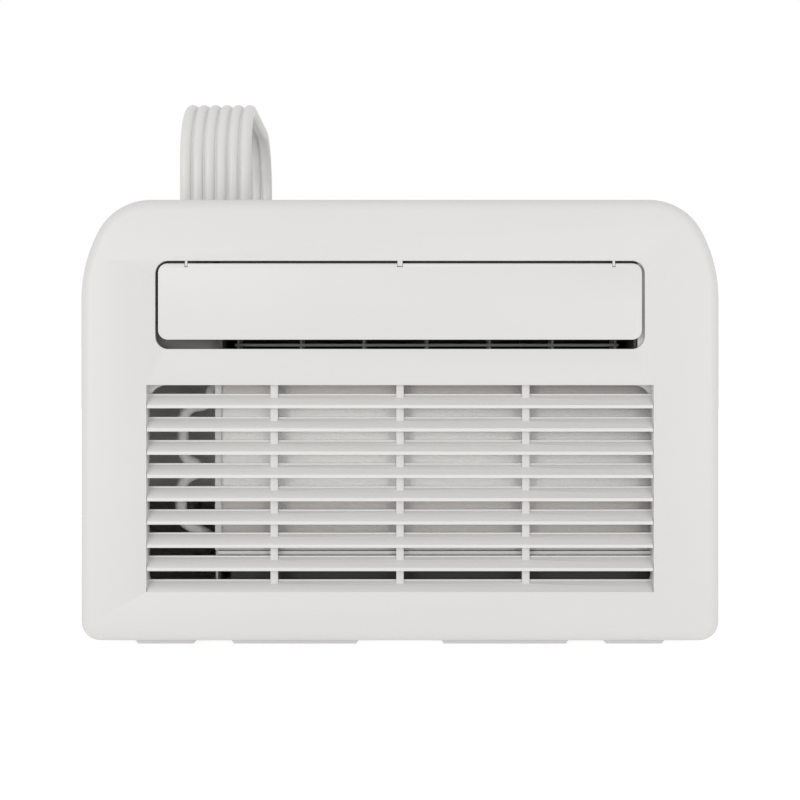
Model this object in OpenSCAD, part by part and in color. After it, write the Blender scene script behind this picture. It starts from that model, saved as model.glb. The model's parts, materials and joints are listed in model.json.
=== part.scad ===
// Saddle split window air conditioner: an indoor unit and an outdoor unit joined by a ribbed line band
// that arches over the window sill. Millimetres, +Z up, +X to the right, the indoor unit faces -Y.
// The origin is on the floor at the middle of the whole assembly.

/* [Units] */
// Width of both units
unit_w = 480; // [460:1:500]
// Height of both cabinets, feet left out
body_h = 332; // [328:1:340]
// Depth of the indoor unit
indoor_d = 180; // [178:1:200]
// Depth of the outdoor unit
outdoor_d = 230; // [225:1:260]
// Free depth between the units, for the wall and the sill
sill_gap = 170; // [150:1:200]
// Height of the feet
foot_h = 4; // [3:0.5:8]
// Thickness of the moulded and folded walls
wall = 2.5; // [2:0.1:3]

/* [Front panel] */
// Rounding radius of the front edge
edge_r = 9; // [6:0.5:10]
// Depth of the front panel's rim
panel_d = 12; // [11:0.5:13]
// Width of the air outlet opening
outlet_w = 366.4; // [360:0.2:368]
// Lower edge of the air outlet opening above the floor
outlet_z0 = 223.2; // [222:0.1:225]
// Upper edge of the air outlet opening above the floor
outlet_z1 = 289.3; // [288:0.1:292]
// Half width of the intake grille opening
grille_hw = 189.7; // [185:0.1:192]
// Upper edge of the intake grille opening above the floor
grille_z1 = 196.3; // [195:0.1:198]

/* [Intake grille] */
// Distance from one fin to the next
fin_pitch = 17.4; // [17:0.1:17.5]
// Number of fins
fin_n = 9; // [9:1:9]
// Open height between two fins
fin_gap = 6.6; // [6:0.1:7.5]
// Height of the upright lip at the front of a fin
fin_lip = 2.4; // [2:0.1:3]

/* [Air outlet] */
// Number of upright vanes
vane_n = 7; // [7:1:7]
// Distance from one vane to the next
vane_pitch = 48.3; // [48:0.1:48.5]
// Swing of the vanes each way, degrees
vane_swing = 30; // [20:1:32]
// Opening angle of the flap, degrees
flap_open = 60; // [40:1:60]

/* [Line band] */
// Number of lines side by side in the band
line_n = 6; // [4:1:6]
// Distance from one line to the next
line_pitch = 10.1; // [9.5:0.1:10.5]
// Outer radius of one line
line_r = 5.4; // [5.2:0.1:5.6]
// Height of the band's top above the cabinets
band_rise = 112; // [100:1:130]
// Centre of the band, across the unit
band_x = -158.5; // [-165:0.5:-150]

/* [Fans] */
// Radius of the cross-flow blower wheel
blower_r = 42; // [38:1:43]
// Radius of the condenser fan
fan_r = 126; // [115:1:128]
// Number of condenser fan blades
fan_blades = 5; // [3:1:6]

/* [Hidden] */
$fn = 64;

plastic = [0.87, 0.866, 0.855];
shade = [0.80, 0.80, 0.78];
steel = [0.62, 0.63, 0.65];
copper = [0.72, 0.43, 0.26];
black = [0.10, 0.10, 0.11];

depth_all = indoor_d + sill_gap + outdoor_d;
front_y = -depth_all / 2;             // face of the indoor unit
indoor_back_y = front_y + indoor_d;
outdoor_y = indoor_back_y + sill_gap; // window side of the outdoor unit
back_y = depth_all / 2;
half_w = unit_w / 2;
top_z = foot_h + body_h;
gap = 0.3;                            // assembly clearance
run = 0.05;                           // running clearance on a radius

// Corner arcs of the cabinets: a tight arc at the top that runs into a wide arc at the side
corner_r1 = 45;
corner_x1 = 52.5;
corner_r2 = 110;
corner_z2 = corner_r1 + sqrt(pow(corner_r2 - corner_r1, 2) - pow(corner_r2 - corner_x1, 2));
corner_a = atan2(corner_z2 - corner_r1, corner_r2 - corner_x1);
foot_corner_r = 14.5;

// ---------------------------------------------------------------- helpers

// Extrudes a drawing in (depth from the face, z) along X
module along_x(x0, length, y0 = front_y) {
    translate([x0, y0, 0]) rotate([90, 0, 90]) linear_extrude(length) children();
}

// Extrudes a drawing in (x, z) along +Y
module along_y(y0, length) {
    translate([0, y0 + length, 0]) rotate([90, 0, 0]) linear_extrude(length) children();
}

module rod_x(x0, length, y, z, r) {
    translate([x0, y, z]) rotate([0, 90, 0]) cylinder(h = length, r = r);
}

module rod_y(x, y0, length, z, r) {
    translate([x, y0, z]) rotate([-90, 0, 0]) cylinder(h = length, r = r);
}

module rod_z(x, y, z0, length, r) {
    translate([x, y, z0]) cylinder(h = length, r = r);
}

module block(x0, x1, y0, y1, z0, z1) {
    translate([x0, y0, z0]) cube([x1 - x0, y1 - y0, z1 - z0]);
}

// Rounded rectangle from corner to corner
module rounded(x0, z0, x1, z1, r) {
    translate([x0 + r, z0]) square([x1 - x0 - 2 * r, z1 - z0]);
    translate([x0, z0 + r]) square([x1 - x0, z1 - z0 - 2 * r]);
    for (x = [x0 + r, x1 - r], z = [z0 + r, z1 - r]) translate([x, z]) circle(r);
}

// Point of a top corner, inset by i, where the outline's normal stands at the angle a above +X
function top_corner(i, a) = a < corner_a
    ? [half_w - corner_r2 + (corner_r2 - i) * cos(a), top_z - corner_z2 + (corner_r2 - i) * sin(a)]
    : [half_w - corner_x1 + (corner_r1 - i) * cos(a), top_z - corner_r1 + (corner_r1 - i) * sin(a)];
function low_corner(i, a) = [half_w - foot_corner_r, foot_h + foot_corner_r]
    + (foot_corner_r - i) * [cos(a), -sin(a)];
function right_half(i) = concat([for (a = [90 : -9 : 0]) low_corner(i, a)],
    [for (k = [0 : 27]) top_corner(i, 90 * k / 27)]);

// Face outline of both cabinets, inset by i
module outline(i = 0) {
    right = right_half(i);
    last = len(right) - 1;
    polygon(concat(right, [for (k = [last : -1 : 0]) [-right[k].x, right[k].y]]));
}

// Closed wall that follows the outline
module outline_ring(y0, length, i, t) {
    difference() {
        along_y(y0, length) outline(i);
        along_y(y0 - 1, length + 2) outline(i + t);
    }
}

function unit(v) = v / norm(v);
function turn_at(p, k) = acos(unit(p[k] - p[k - 1]) * unit(p[k + 1] - p[k]));
// Length of straight that the bend at point k takes from each side
function bend_len(p, k, bend_r) = k == 0 || k == len(p) - 1 ? 0 : bend_r * tan(turn_at(p, k) / 2);

module along(a, u) {
    translate(a) rotate([0, acos(u.z), atan2(u.y, u.x)]) children();
}

// Round tube along a list of points: an elbow at every inner point, with a sleeve at each of its ends
module tube_path(p, r, bend_r, sleeve_len = 3.2, sleeve_t = 0.5) {
    space = 0.1;
    for (k = [0 : len(p) - 2]) {
        u = unit(p[k + 1] - p[k]);
        a = p[k] + u * bend_len(p, k, bend_r);
        b = p[k + 1] - u * bend_len(p, k + 1, bend_r);
        first = k > 0 ? space : 0;
        last = k < len(p) - 2 ? space : 0;
        along(a + u * first, u) cylinder(h = norm(b - a) - first - last, r = r);
        if (last > 0) along(b - sleeve_len / 2 * u, u) cylinder(h = sleeve_len, r = r + sleeve_t);
        if (first > 0) {
            along(a - sleeve_len / 2 * u, u) cylinder(h = sleeve_len, r = r + sleeve_t);
            w = unit(p[k] - p[k - 1]);
            n = unit(u - w * (u * w));
            c = p[k] - w * bend_len(p, k, bend_r) + n * bend_r;
            z = cross(-n, w);
            multmatrix([[-n.x, w.x, z.x, c.x], [-n.y, w.y, z.y, c.y], [-n.z, w.z, z.z, c.z], [0, 0, 0, 1]])
                rotate_extrude(angle = turn_at(p, k)) translate([bend_r, 0]) circle(r);
        }
    }
}

// ---------------------------------------------------------------- front panel

grille_z0 = grille_z1 - (fin_n - 1) * fin_pitch - fin_gap - (fin_pitch - fin_gap - fin_lip) - 0.5;
bracket_x = 160;
bracket_w = [3.8, 1.8];   // middle and outer hinge brackets
flap_t = 3.4;
flap_z1 = 287.3;
hinge_z = flap_z1 - 1.3;
hinge_d = flap_t / 2 + 0.1;
hinge_y = front_y + hinge_d;
hinge_pin_r = 0.65;
hinge_barrel_r = 1.15;
panel_t = 3;

module hinge_bracket(x, w) {
    difference() {
        union() {
            rod_x(x - w / 2, w, hinge_y, hinge_z, hinge_barrel_r);
            block(x - w / 2, x + w / 2, hinge_y - hinge_barrel_r, hinge_y + 1, hinge_z, outlet_z1 + 1);
        }
        rod_x(x - w, 2 * w, hinge_y, hinge_z, hinge_pin_r + run);
    }
}

module front_panel() color(plastic) {
    difference() {
        hull() for (k = [0 : 5]) {
            a = 90 * k / 5;
            along_y(front_y + edge_r * (1 - sin(a)), k == 0 ? panel_d - edge_r : 0.02)
                outline(edge_r * (1 - cos(a)));
        }
        along_y(front_y + panel_t, edge_r) outline(edge_r - 1);
        along_y(front_y + edge_r, panel_d) outline(wall);
        along_y(front_y - 1, panel_d) rounded(-outlet_w / 2, outlet_z0, outlet_w / 2, outlet_z1, 9.7);
        along_y(front_y - 1, panel_d) translate([-grille_hw, grille_z0])
            square([2 * grille_hw, grille_z1 - grille_z0]);
    }
    difference() {
        along_y(front_y + panel_t - 0.5, 4) rounded(-outlet_w / 2 - 2, outlet_z0 - 2, outlet_w / 2 + 2,
            outlet_z1 + 2, 11.7);
        along_y(front_y, panel_d + 2) rounded(-outlet_w / 2, outlet_z0, outlet_w / 2, outlet_z1, 9.7);
    }
    for (x = [-bracket_x, 0, bracket_x]) hinge_bracket(x, x == 0 ? bracket_w[0] : bracket_w[1]);
    // Strip between the opening's right end and the duct
    block(side_x1 + duct_t + gap, outlet_w / 2 + 1, front_y + 5, front_y + 6.5, outlet_z0 - 1, outlet_z1 + 1);
    for (x = [-204, 204], z = [56, 182]) difference() {
        rod_y(x, front_y + panel_t - 0.5, 6, z, 4);
        rod_y(x, front_y + panel_t, 8, z, 1.5);
    }
}

// ---------------------------------------------------------------- intake grille

rib_x = 94.6;
rib_w = 5.5;
slope_h = fin_pitch - fin_gap - fin_lip;
slope_d = 8;
blade_t = 2.2;
frame_d = 13;

// Section of one fin: an upright lip at the face, a blade that rises inward, and a small lip on its top
module fin_section() {
    top = fin_lip + slope_h;
    polygon([[0.3, 0], [0.3, fin_lip], [slope_d, top - 1.1], [slope_d, top], [slope_d + blade_t, top],
        [slope_d + blade_t, top - 2], [2.3, 0]]);
}

rail_z = 70.9;          // floor of the filter's lower rail

module intake_grille() color(shade) {
    hw = grille_hw - gap;
    for (k = [0 : fin_n - 2]) {
        z = grille_z1 - (k + 1) * fin_pitch;
        translate([0, 0, z]) along_x(-hw, 2 * hw) fin_section();
    }
    // The lowest blade rises straight from the panel's edge
    translate([0, 0, grille_z0 - fin_lip]) along_x(-hw, 2 * hw) intersection() {
        fin_section();
        translate([0, fin_lip]) square([20, 20]);
    }
    for (x = [-rib_x, 0, rib_x]) block(x - rib_w / 2, x + rib_w / 2, front_y + slope_d - 2,
        front_y + frame_d, grille_z0 + gap, grille_z1 + 3);
    // Lower rail of the filter, carried by the ribs
    block(-138, 208, front_y + frame_d - 0.5, front_y + filter_d + filter_t + 2.3, rail_z - 2.7, rail_z);
    block(-138, 208, front_y + filter_d + filter_t + gap, front_y + filter_d + filter_t + 2.3, rail_z - 1,
        rail_z + 5);
    // Walls behind the opening, with a back frame whose upper corners are round
    difference() {
        along_y(front_y + panel_t, frame_d - panel_t) translate([-grille_hw - 2, grille_z0 - 2])
            square([2 * grille_hw + 4, grille_z1 - grille_z0 + 4]);
        along_y(front_y, frame_d - 2) translate([-hw, grille_z0]) square([2 * hw, grille_z1 - grille_z0]);
        along_y(front_y, frame_d + 2) rounded(-hw, grille_z0, hw, grille_z1, 13);
    }
    for (x = [-1, 1], z = [56, 182]) difference() {
        translate([x * (grille_hw + 1), front_y + 8.6, z - 4]) mirror([x < 0 ? 1 : 0, 0, 0]) cube([18, 2.4, 8]);
        rod_y(x * 204, front_y + 5, 10, z, 1.7);
    }
}

// ---------------------------------------------------------------- outlet flap and its drive

flap_hw = 180.9;
flap_z0 = 230.3;
gear_m = 1;             // gear module
sector_teeth = 52;      // teeth on the sector's full circle
pinion_teeth = 12;
gear_x = 171.5;         // drive end of the flap
gear_w = 3;
sector_r = gear_m * sector_teeth / 2;
pinion_r = gear_m * pinion_teeth / 2;
pinion_a = 30;          // from straight down to the pinion, seen from the hinge
pinion_y = hinge_y + (sector_r + pinion_r) * sin(pinion_a);
pinion_z = hinge_z - (sector_r + pinion_r) * cos(pinion_a);
pressure_a = 25;
backlash = 0.24;

function involute(rb, t) = [rb * (cos(t) + t * PI / 180 * sin(t)), rb * (sin(t) - t * PI / 180 * cos(t))];
function turned(p, a) = [p.x * cos(a) - p.y * sin(a), p.x * sin(a) + p.y * cos(a)];
function roll_at(rb, r) = r <= rb ? 0 : sqrt(pow(r / rb, 2) - 1) * 180 / PI;

// One tooth of a gear with n teeth, centred on +X
module tooth(n) {
    rp = gear_m * n / 2;
    rb = rp * cos(pressure_a);
    root = rp - 1.2 * gear_m;
    tip = rp + 0.8 * gear_m;
    half = 90 / n - backlash / 2 / rp * 180 / PI;
    pitch_roll = roll_at(rb, rp);
    shift = half + atan2(involute(rb, pitch_roll).y, involute(rb, pitch_roll).x);
    lower = max(rb, root);
    flank = [for (k = [0 : 5]) let (r = lower + (tip - lower) * k / 5, t = roll_at(rb, r))
        turned(involute(rb, t), -shift)];
    foot = turned([root - 0.3, 0], -shift);
    polygon(concat([foot], flank, [for (k = [5 : -1 : 0]) [flank[k].x, -flank[k].y]], [[foot.x, -foot.y]]));
}

// The sector's teeth stand on the hinge axis; angles run from straight down towards the back
module flap_sector() {
    first = 22;
    step = 360 / sector_teeth;
    sweep = flap_open + 5;
    web_r = sector_r - 1.2 * gear_m;
    translate([gear_x, hinge_y, hinge_z]) rotate([90, 0, 90]) linear_extrude(gear_w) {
        intersection() {
            difference() {
                circle(web_r);
                circle(web_r - 3.5);
            }
            polygon([[0, 0], for (k = [0 : 6]) let (a = -90 + (first + sweep + 4) * k / 6)
                turned([60, 0], a)]);
        }
        for (k = [0 : floor(sweep / step)]) rotate(pinion_a - 90 + (k - 0.5) * step) tooth(sector_teeth);
        // Arms from the plate to the ends of the toothed rim
        polygon([[0.4, -16], [8, -web_r + 3.2], [12, -web_r + 4.8], [0.4, -8]]);
        polygon([[0.4, -4], [web_r - 2, -3], [web_r - 2, 0.4], [0.4, -1]]);
    }
}

module outlet_flap() color(plastic) {
    difference() {
        union() {
            along_y(front_y + 0.1, flap_t) rounded(-flap_hw, flap_z0, flap_hw, flap_z1, 7.1);
            flap_sector();
            for (z = [246, 262]) block(-168, 168, front_y + flap_t, front_y + flap_t + 2.2, z, z + 1.6);
        }
        // Rounds the upper edge about the hinge axis
        difference() {
            block(-200, 200, front_y - 1, front_y + 4, hinge_z, flap_z1 + 1);
            rod_x(-200, 400, hinge_y, hinge_z, flap_t / 2);
        }
        for (x = [-bracket_x, 0, bracket_x]) {
            w = (x == 0 ? bracket_w[0] : bracket_w[1]) + 0.6;
            block(x - w / 2, x + w / 2, front_y - 1, front_y + 4, hinge_z - hinge_barrel_r - gap, flap_z1 + 1);
        }
    }
    for (x = [-bracket_x, 0, bracket_x]) rod_x(x - 4, 8, hinge_y, hinge_z, hinge_pin_r);
}

pinion_shaft_r = 2;
side_x1 = 176;          // inner face of the duct's right wall
side_x0 = -133.6;       // inner face of the duct's left wall
duct_t = 2.2;

module flap_pinion() color("white") {
    translate([gear_x - 0.5, pinion_y, pinion_z]) rotate([90, 0, 90]) {
        linear_extrude(gear_w + 1) {
            circle(pinion_r - 1.2 * gear_m);
            for (k = [0 : pinion_teeth - 1]) rotate(90 + pinion_a + k * 360 / pinion_teeth) tooth(pinion_teeth);
        }
        cylinder(h = 12, r = pinion_shaft_r);
    }
}

flap_motor_x = side_x1 + duct_t + gap;

// Small geared stepper motor: can, cover and two ears
module stepper(r, length, bore_r) {
    difference() {
        union() {
            cylinder(h = length, r = r);
            translate([-3.5, -r - 5, 0]) cube([7, 2 * r + 10, 1.2]);
            translate([r * 0.55, -r * 0.6, 2]) cube([r * 0.75, r * 1.2, length - 4]);
        }
        for (s = [-1, 1]) translate([0, s * (r + 2.4), -1]) cylinder(h = 4, r = 1.4);
        translate([0, 0, -1]) cylinder(h = length - 3, r = bore_r + run);
    }
}

module flap_motor() color(steel)
    translate([flap_motor_x, pinion_y, pinion_z]) rotate([90, 0, 90]) stepper(10.5, 16, pinion_shaft_r);

// ---------------------------------------------------------------- vanes

vane_x1 = -124.3;
vane_z0 = outlet_z0 + 0.6;
vane_z1 = outlet_z1 - 2.4;
vane_t = 1.6;
pivot_d = 46;
pivot_y = front_y + pivot_d;
pivot_r = 1.6;
bar_arm = 12;           // from a vane's pivot to the link bar's pin
bar_y = pivot_y - bar_arm;
bar_z = 227.2;
bar_pin_r = 1.1;
vane_front = 16;
vane_back = 12;

module vane(k) color([0.42, 0.42, 0.41]) {
    x = vane_x1 + k * vane_pitch;
    difference() {
        union() {
            block(x - vane_t / 2, x + vane_t / 2, pivot_y - vane_front, pivot_y + vane_back, vane_z0, vane_z1);
            rod_z(x, pivot_y, vane_z0, vane_z1 - vane_z0, 1.9);
        }
        block(x - 2, x + 2, bar_y - 6, bar_y + 4.6, bar_z - 1.3, bar_z + 1.6);
    }
    // The first vane's upper pivot is long and reaches into the vane motor
    rod_z(x, pivot_y, vane_z0 - 2.1, vane_z1 - vane_z0 + (k == 0 ? 14 : 4.2), pivot_r);
    rod_z(x, bar_y, bar_z - 2, 4.4, bar_pin_r);
}

module vane_link_bar() color([0.55, 0.55, 0.54]) {
    difference() {
        block(vane_x1 - 2.6, vane_x1 + (vane_n - 1) * vane_pitch + 2.6, bar_y - 2.4, bar_y + 2.4,
            bar_z - 0.9, bar_z + 1.1);
        for (k = [0 : vane_n - 1]) rod_z(vane_x1 + k * vane_pitch, bar_y, bar_z - 3, 6, bar_pin_r + run);
    }
}

vane_motor_z1 = vane_z1 + 5.2;

// Stepper on top of the duct; its socket takes the first vane's upper pivot
module vane_motor() color(steel) translate([vane_x1, pivot_y, vane_motor_z1]) stepper(11, 16, pivot_r);

// ---------------------------------------------------------------- outlet duct with the blower's scroll

blower_d = 118;
blower_y = front_y + blower_d;
blower_z = 232;
shaft_r = 4;
duct_z0 = vane_z0 - gap;          // floor of the duct
duct_z1 = vane_z1 + gap;          // ceiling of the duct
duct_front = 6.9;
scroll_r1 = duct_z1 - blower_z;
scroll_r2 = 46;
filter_d = 15.5;                  // depth of the filter's front
filter_t = 5;
filter_z0 = rail_z + gap;
filter_z1 = 199;
tongue_d = 71.6;

// Arc wall between two angles about a point
module arc_wall(d, z, r, a0, a1) {
    translate([d, z]) intersection() {
        difference() {
            circle(r + duct_t);
            circle(r);
        }
        polygon(concat([[0, 0]], [for (k = [0 : 8]) turned([r * 1.5, 0], a0 + (a1 - a0) * k / 8)]));
    }
}

module duct_section() {
    translate([duct_front, duct_z1]) square([blower_d - duct_front, duct_t]);
    arc_wall(blower_d, blower_z, scroll_r1, 0, 90);
    arc_wall(blower_d + scroll_r1 - scroll_r2, blower_z, scroll_r2, -78, 0);
    translate([duct_front, duct_z0 - duct_t]) square([tongue_d - duct_front, duct_t]);
    translate([tongue_d, duct_z0 - duct_t]) circle(duct_t);
    // Upper rail of the filter and the web that carries it
    translate([filter_d + filter_t + gap, filter_z1 - 3]) square([2, duct_z0 - filter_z1 + 2.4]);
    translate([filter_d - 2.3, filter_z1 + gap]) square([filter_t + 4.6, 2]);
    translate([filter_d - 2.3, filter_z1 - 2]) square([2, 4]);
}

module duct_side(right) {
    difference() {
        union() {
            translate([duct_front, duct_z0 - duct_t]) square([blower_d - duct_front, duct_z1 - duct_z0 + 2 * duct_t]);
            translate([blower_d, blower_z]) circle(scroll_r1 + duct_t);
        }
        translate([blower_d, blower_z]) circle(right ? shaft_r + 2 : shaft_r + 1.5);
        if (right) translate([pinion_y - front_y, pinion_z]) circle(pinion_shaft_r + run);
    }
}

module outlet_duct() color(black) difference() {
    union() {
        along_x(side_x0 - 0.1, side_x1 - side_x0 + 0.2) duct_section();
        along_x(side_x0 - duct_t, duct_t) duct_side(false);
        along_x(side_x1, duct_t) duct_side(true);
        // Cheek from the duct's left wall out to the left end of the opening
        translate([0, 0, outlet_z0 - 1]) linear_extrude(outlet_z1 - outlet_z0 + 2)
            polygon([[-outlet_w / 2 - 1, front_y + duct_front], [-outlet_w / 2 + 1, front_y + duct_front],
                [side_x0 - duct_t + 0.1, front_y + 20], [side_x0 - duct_t + 0.1, front_y + 22.4],
                [-outlet_w / 2 - 1, front_y + duct_front + 2.4]]);
        // Pad under the vane motor
        block(vane_x1 - 8, vane_x1 + 16, pivot_y - 17, pivot_y + 17, duct_z1 + 1, vane_motor_z1 - 0.1);
    }
    for (k = [0 : vane_n - 1]) rod_z(vane_x1 + k * vane_pitch, pivot_y, duct_z0 - 5, duct_z1 - duct_z0 + 14,
        pivot_r + run);
}

// ---------------------------------------------------------------- cross-flow blower

blower_x0 = side_x0 + 3;
blower_x1 = side_x1 - 3;
blower_discs = 5;
blower_blades = 26;

// One forward-curved blade between two radii
module blower_blade() {
    inner = blower_r * 0.76;
    steps = 4;
    front = [for (k = [0 : steps]) let (r = inner + (blower_r - 0.6 - inner) * k / steps)
        turned([r, 0], 14 * pow(k / steps, 2))];
    back = [for (k = [steps : -1 : 0]) turned([norm(front[k]), 0],
        14 * pow(k / steps, 2) + 90 / PI / norm(front[k]) * 2)];
    polygon(concat(front, back));
}

module blower_wheel() color(black) {
    disc = 2;
    step = (blower_x1 - blower_x0 - disc) / (blower_discs - 1);
    for (k = [0 : blower_discs - 1]) translate([blower_x0 + k * step, blower_y, blower_z])
        rotate([90, 0, 90]) linear_extrude(disc) difference() {
            circle(blower_r);
            if (k > 0 && k < blower_discs - 1) circle(blower_r * 0.74);
        }
    translate([blower_x0 + 1, blower_y, blower_z]) rotate([90, 0, 90])
        linear_extrude(blower_x1 - blower_x0 - 2)
            for (k = [0 : blower_blades - 1]) rotate(k * 360 / blower_blades) blower_blade();
    rod_x(side_x0 - 15, 16 + blower_x0 - side_x0, blower_y, blower_z, shaft_r);
    rod_x(blower_x1 - 1, 24, blower_y, blower_z, shaft_r);
}

module blower_motor() color(steel) difference() {
    x0 = side_x1 + duct_t + gap;
    union() {
        rod_x(x0, 48, blower_y, blower_z, 31);
        rod_x(x0 + 48, 3, blower_y, blower_z, 12);
        rod_x(x0 + 8, 6, blower_y, blower_z, 34);
    }
    rod_x(x0 - 1, 25, blower_y, blower_z, shaft_r + run);
}

module blower_bearing() color(black) difference() {
    x1 = side_x0 - duct_t;
    union() {
        rod_x(x1 - 14, 14, blower_y, blower_z, 10);
        block(x1 - 3, x1, blower_y - 15, blower_y + 15, blower_z - 7, blower_z + 7);
    }
    rod_x(x1 - 15, 20, blower_y, blower_z, shaft_r + run);
}

// ---------------------------------------------------------------- evaporator, drip tray and filter

coil_d0 = 27;
coil_d1 = 62;
coil_z0 = 52;
coil_z1 = 206;
coil_x0 = -122;
coil_x1 = 196;
coil_tube_r = 3.2;
coil_rows = 8;

function coil_row_z(k, z0, z1, n) = z0 + (z1 - z0) * (k + 0.5) / n;

// Serpentine coil: straight tubes along X joined by U bends, all in one plane
module serpentine(x0, x1, y, z0, z1, n, r) {
    step = (z1 - z0) / n;
    for (k = [0 : n - 1]) {
        z = coil_row_z(k, z0, z1, n);
        rod_x(x0, x1 - x0, y, z, r);
        if (k < n - 1) {
            right = k % 2 == 0;
            translate([right ? x1 : x0, y, z + step / 2]) rotate([90, 0, 0]) rotate(right ? -90 : 90)
                rotate_extrude(angle = 180) translate([step / 2, 0]) circle(r);
        }
    }
}

// Fin pack with end plates; every plate is pierced by the tubes
module fin_pack(x0, x1, y0, y1, z0, z1, n, rows, tube_r, plate_t) {
    for (k = [0 : n - 1]) {
        t = k == 0 || k == n - 1 ? 1.2 : plate_t;
        translate([x0 + (x1 - x0 - 1.2) * k / (n - 1), 0, 0]) rotate([90, 0, 90]) linear_extrude(t)
            difference() {
                translate([y0, z0]) square([y1 - y0, z1 - z0]);
                for (i = [0 : rows - 1]) translate([(y0 + y1) / 2, coil_row_z(i, z0, z1, rows)]) circle(tube_r);
            }
    }
}

module evaporator_fins() color(steel) fin_pack(coil_x0, coil_x1, front_y + coil_d0, front_y + coil_d1,
    coil_z0, coil_z1, 42, coil_rows, coil_tube_r, 0.8);

module evaporator_tubes() color(copper) serpentine(coil_x0 - 2, coil_x1 + 4,
    front_y + (coil_d0 + coil_d1) / 2, coil_z0, coil_z1, coil_rows, coil_tube_r);

module drip_tray() color(black) difference() {
    union() {
        along_x(coil_x0 - 7, coil_x1 - coil_x0 + 22) difference() {
            translate([23.3, 42]) square([44, 24]);
            translate([25.5, 44.5]) square([39.6, 40]);
            translate([60, 60]) square([20, 20]);
        }
        for (x = [coil_x0 - 7, coil_x1 + 13]) block(x, x + 2, front_y + 24, front_y + 66, 42, 57.5);
        for (x = [-90, 150]) block(x, x + 12, front_y + 30, front_y + 50, foot_h + wall, 42.5);
    }
    // Well where the condensate leaves
    rod_y(coil_x0 + 10, front_y + 60, 20, 49, 3.5);
}

bay_wall_x = -140.3;
bay_back_d = 78;
liquid_z = coil_row_z(0, coil_z0, coil_z1, coil_rows);
suction_z = coil_row_z(coil_rows - 1, coil_z0, coil_z1, coil_rows);
coil_y = front_y + (coil_d0 + coil_d1) / 2;

// Wall between the coil and the pipe bay, with the bay's upper back
module pipe_bay_wall() color(shade) difference() {
    union() {
        block(bay_wall_x, bay_wall_x + 1.6, front_y + filter_d + filter_t + gap, front_y + bay_back_d + 2, 42,
            212);
        block(-226, bay_wall_x + 0.1, front_y + bay_back_d, front_y + bay_back_d + 2, 112, 212);
        for (x = [-226, -190]) block(x, x + 2, front_y + bay_back_d + 1.9, front_y + bay_back_d + 7, 112, 212);
    }
    rod_x(bay_wall_x - 5, 10, coil_y, liquid_z, coil_tube_r + 1);
    rod_x(bay_wall_x - 5, 10, coil_y, suction_z, lag_r + 1);
}

filter_x0 = bay_wall_x;
filter_x1 = half_w - 0.2;
filter_bars = [116, 185]; // bars between the filter's three fields

module filter_frame() color(plastic) {
    bars = 5;
    difference() {
        block(filter_x0, filter_x1 - 24, front_y + filter_d, front_y + filter_d + filter_t, filter_z0, filter_z1);
        block(filter_x0 + 5, filter_x1 - 30, front_y + filter_d - 1, front_y + filter_d + filter_t + 1,
            filter_z0 + 2.5, filter_z1 - 3);
    }
    for (k = [1 : bars]) {
        x = filter_x0 + (filter_x1 - 27 - filter_x0) * k / (bars + 1);
        block(x - 1.2, x + 1.2, front_y + filter_d + 2.6, front_y + filter_d + filter_t, filter_z0 + 2,
            filter_z1 - 2);
    }
    for (z = filter_bars) block(filter_x0 + 4, filter_x1 - 29, front_y + filter_d + 2.6,
        front_y + filter_d + filter_t, z - 2, z + 2);
    // Pull end, flush with the cabinet's side
    difference() {
        block(filter_x1 - 25, filter_x1, front_y + filter_d, front_y + filter_d + filter_t, filter_z0, filter_z1);
        block(filter_x1 - 10, filter_x1 - 3, front_y + filter_d - 1, front_y + filter_d + 3, 118, 150);
        block(filter_x1 - 4, filter_x1 + 1, front_y + filter_d - 1, front_y + filter_d + 2, 118, 150);
    }
}

module filter_mesh() color(shade) block(filter_x0 + 5, filter_x1 - 30, front_y + filter_d + 1.6,
    front_y + filter_d + 2.5, filter_z0 + 2.5, filter_z1 - 3);

// ---------------------------------------------------------------- pipes in the left bay, junction box

band_y0 = indoor_back_y - 15;     // leg on the indoor unit
band_y1 = outdoor_y + 20;         // leg on the outdoor unit
band_end_z = 306;
lag_r = 4.5;

module junction_box() color(black) {
    hw = line_n * line_pitch / 2 + 5;
    difference() {
        block(band_x - hw, band_x + hw, band_y0 - 12, band_y0 + 12, band_end_z - 22, band_end_z + 14);
        block(band_x - hw + 2, band_x + hw - 2, band_y0 - 10, band_y0 + 10, band_end_z - 20, band_end_z + 0.1);
        band_bore(band_y0, band_end_z - 1, 20);
        rod_z(band_x - 20, band_y0, band_end_z - 23, 4, lag_r);
        rod_z(band_x + 18, band_y0, band_end_z - 23, 4, 4);
    }
}

module suction_line() color(shade) {
    d = front_y + 42;
    tube_path([[coil_x0 - 1.9, coil_y, suction_z], [-147, coil_y, suction_z], [-147, d - 2, 182],
        [-168.6, d, 179], [-168.6, d, 140], [-150, d + 2, 132], [-170, d, 123], [-170, d, 91], [-150, d + 2, 81],
        [-150, d + 24, 76], [-170, band_y0 - 20, 76], [band_x - 20, band_y0, 96],
        [band_x - 20, band_y0, band_end_z - 20]], lag_r, 6);
}

module liquid_line() color(copper) {
    tube_path([[band_x + 18, band_y0, band_end_z - 20], [band_x + 18, band_y0, 272],
        [-146, band_y0 + 4, 262], [-146, band_y0 + 4, 84], [-150, front_y + 110, liquid_z],
        [-150, coil_y, liquid_z], [coil_x0 - 1.9, coil_y, liquid_z]], coil_tube_r, 7);
}

// ---------------------------------------------------------------- indoor cabinet and controls

shell_y = front_y + panel_d + gap;
back_t = 2.5;
button_r = 6;
button_y = front_y + 49;
button_x = [-58, -40, 40, 58];
button_travel = 1;
screw_x = 232;
screw_z = [40, 150, 250];
gland_x = 214;
gland_y = -140;
cover_boss = 4;         // depth of the covers' sunk screw bosses

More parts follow.
